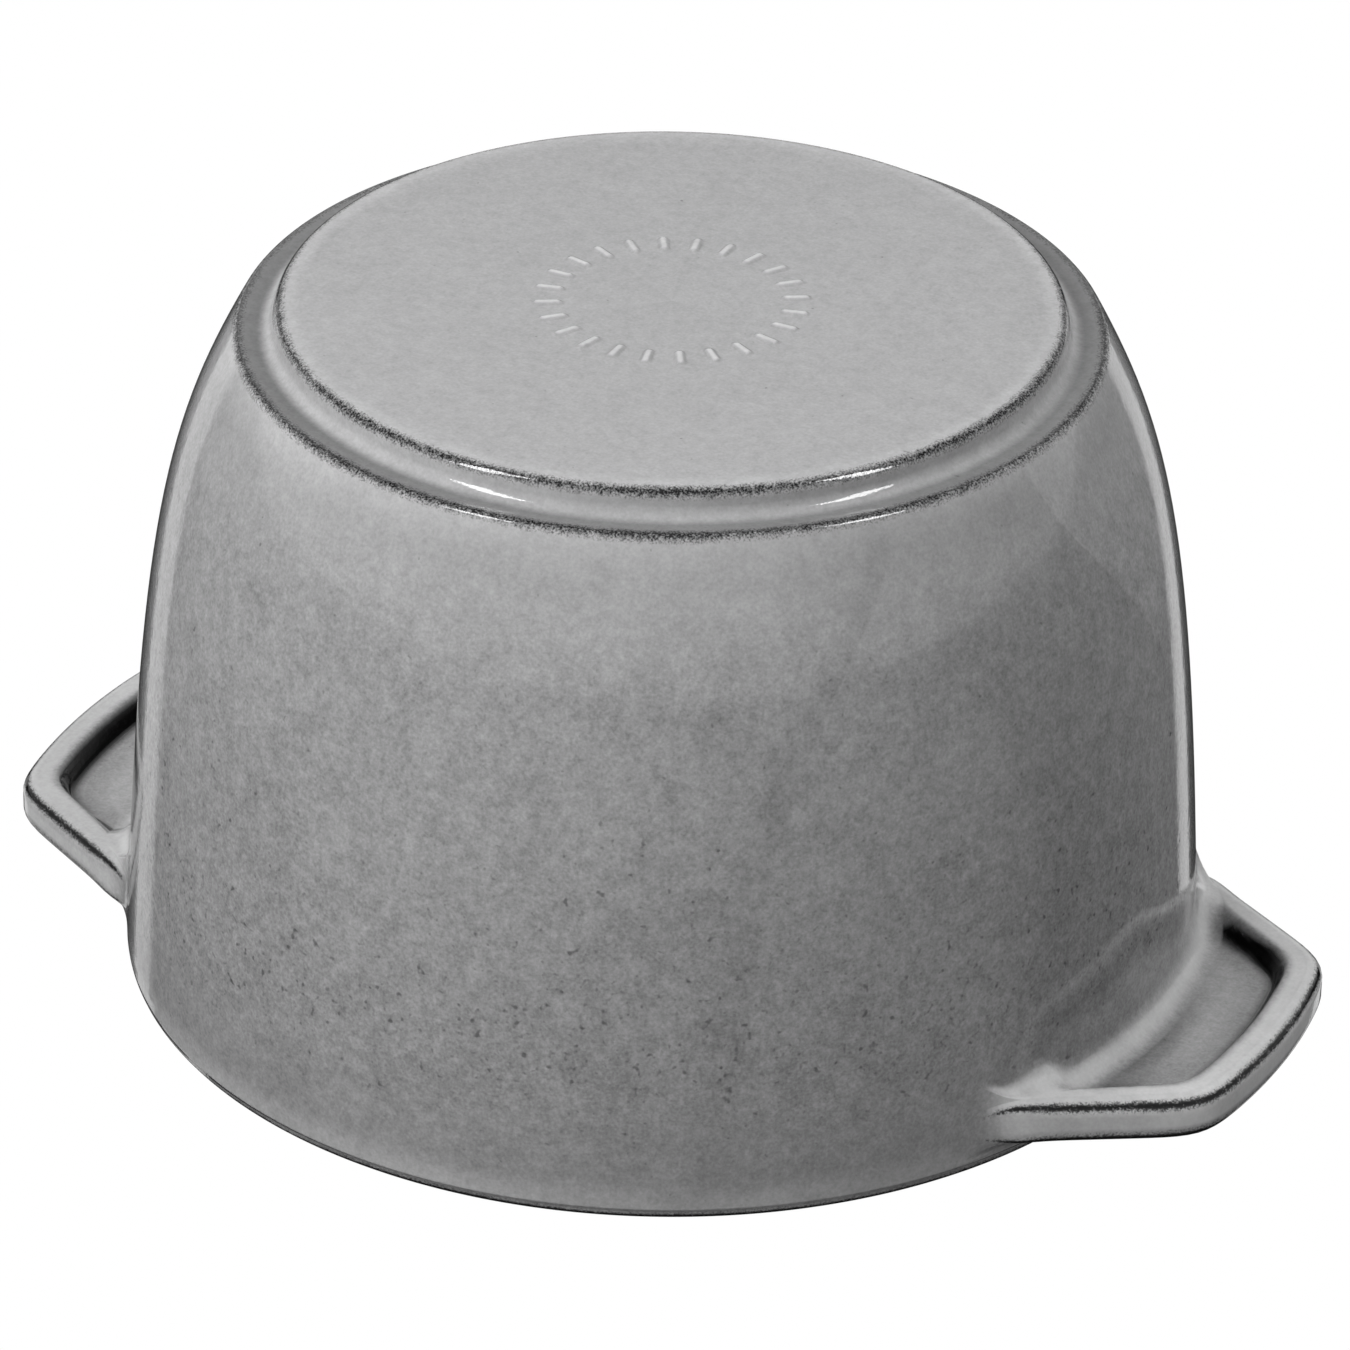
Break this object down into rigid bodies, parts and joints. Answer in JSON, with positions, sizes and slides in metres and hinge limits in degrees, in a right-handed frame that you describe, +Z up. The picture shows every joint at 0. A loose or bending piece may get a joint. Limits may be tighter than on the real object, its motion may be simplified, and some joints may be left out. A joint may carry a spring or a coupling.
{
  "type": "rice cocotte",
  "caption": "Round enamelled cast-iron rice pot with cast lug handles, a stepped flat foot, and a domed lid that lifts out of its seat in the rim by a turned metal knob.",
  "frame": {"origin": "middle of the foot's flat face, on the surface that the pot stands on", "axes": "+Z up along the pot's axis, the way the lid lifts; +X through the handles"},
  "size_m": [0.2116, 0.168, 0.1543],
  "materials": {
    "pot_enamel": "glossy grey speckled enamel, thin and dark on the edges, matt black inside",
    "lid_enamel": "glossy grey speckled enamel, matt black underneath",
    "knob_metal": "polished",
    "screw_steel": "plain",
    "washer_steel": "plain"
  },
  "bodies": {
    "pot": {"pot": "pot_enamel"},
    "lid": {"lid": "lid_enamel", "knob": "knob_metal", "knob_screw": "screw_steel", "knob_washer": "washer_steel"}
  },
  "joints": [
    {"name": "lid_lift", "type": "slide", "parent": "pot", "child": "lid", "axis": [0, 0, 1], "range_m": [0, 0.09]}
  ]
}
